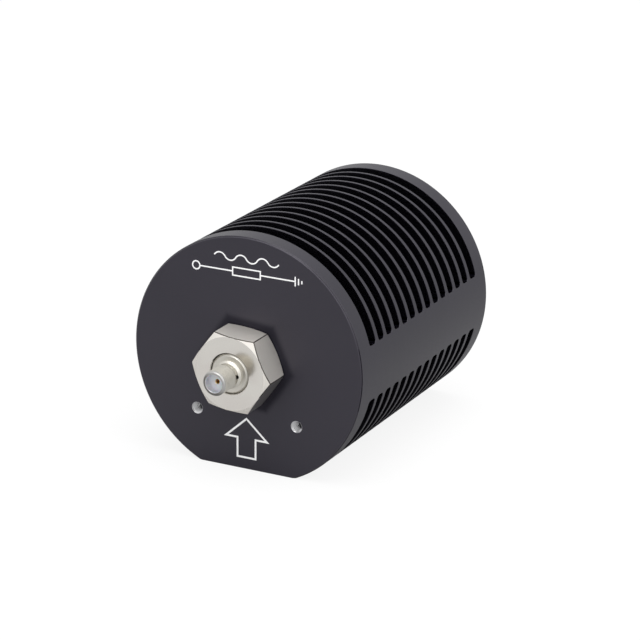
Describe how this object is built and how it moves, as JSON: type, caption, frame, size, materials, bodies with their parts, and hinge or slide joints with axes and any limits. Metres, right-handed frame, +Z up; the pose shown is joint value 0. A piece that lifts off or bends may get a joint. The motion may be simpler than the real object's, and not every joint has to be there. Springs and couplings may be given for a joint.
{
  "type": "rf dummy load",
  "caption": "Coaxial rf dummy load: a round black finned heat sink with a flat to rest on and a hexagonal barrel that carries a threaded jack.",
  "frame": {"origin": "on the resting plane, under the middle of the overall box", "axes": "+Z up, +Y along the port's axis from the port towards the rear disc, so the port faces -Y, +X to the right when the port faces the viewer"},
  "size_m": [0.0634, 0.09, 0.0604],
  "materials": {
    "black_anodise": "satin black anodised, with fine turning marks",
    "barrel_steel": "fine turned, passivated",
    "jack_steel": "bright turned, passivated",
    "white_insulator": "waxy, slightly translucent",
    "gold_plate": "gold plated",
    "spring_bronze": "satin",
    "dark_epoxy": "cured, slightly sunken",
    "bead_plastic": "matt",
    "film_ceramic": "matt resistive film on ceramic"
  },
  "bodies": {
    "root": {"heat_sink": "black_anodise", "hex_barrel": "barrel_steel", "jack_shell": "jack_steel", "dielectric": "white_insulator", "centre_contact": "gold_plate", "captivation_plug": "dark_epoxy", "support_bead": "bead_plastic", "front_cap": "gold_plate", "resistor_rod": "film_ceramic", "rear_cap": "gold_plate", "ground_collet": "spring_bronze", "rear_plug": "barrel_steel"}
  },
  "joints": []
}
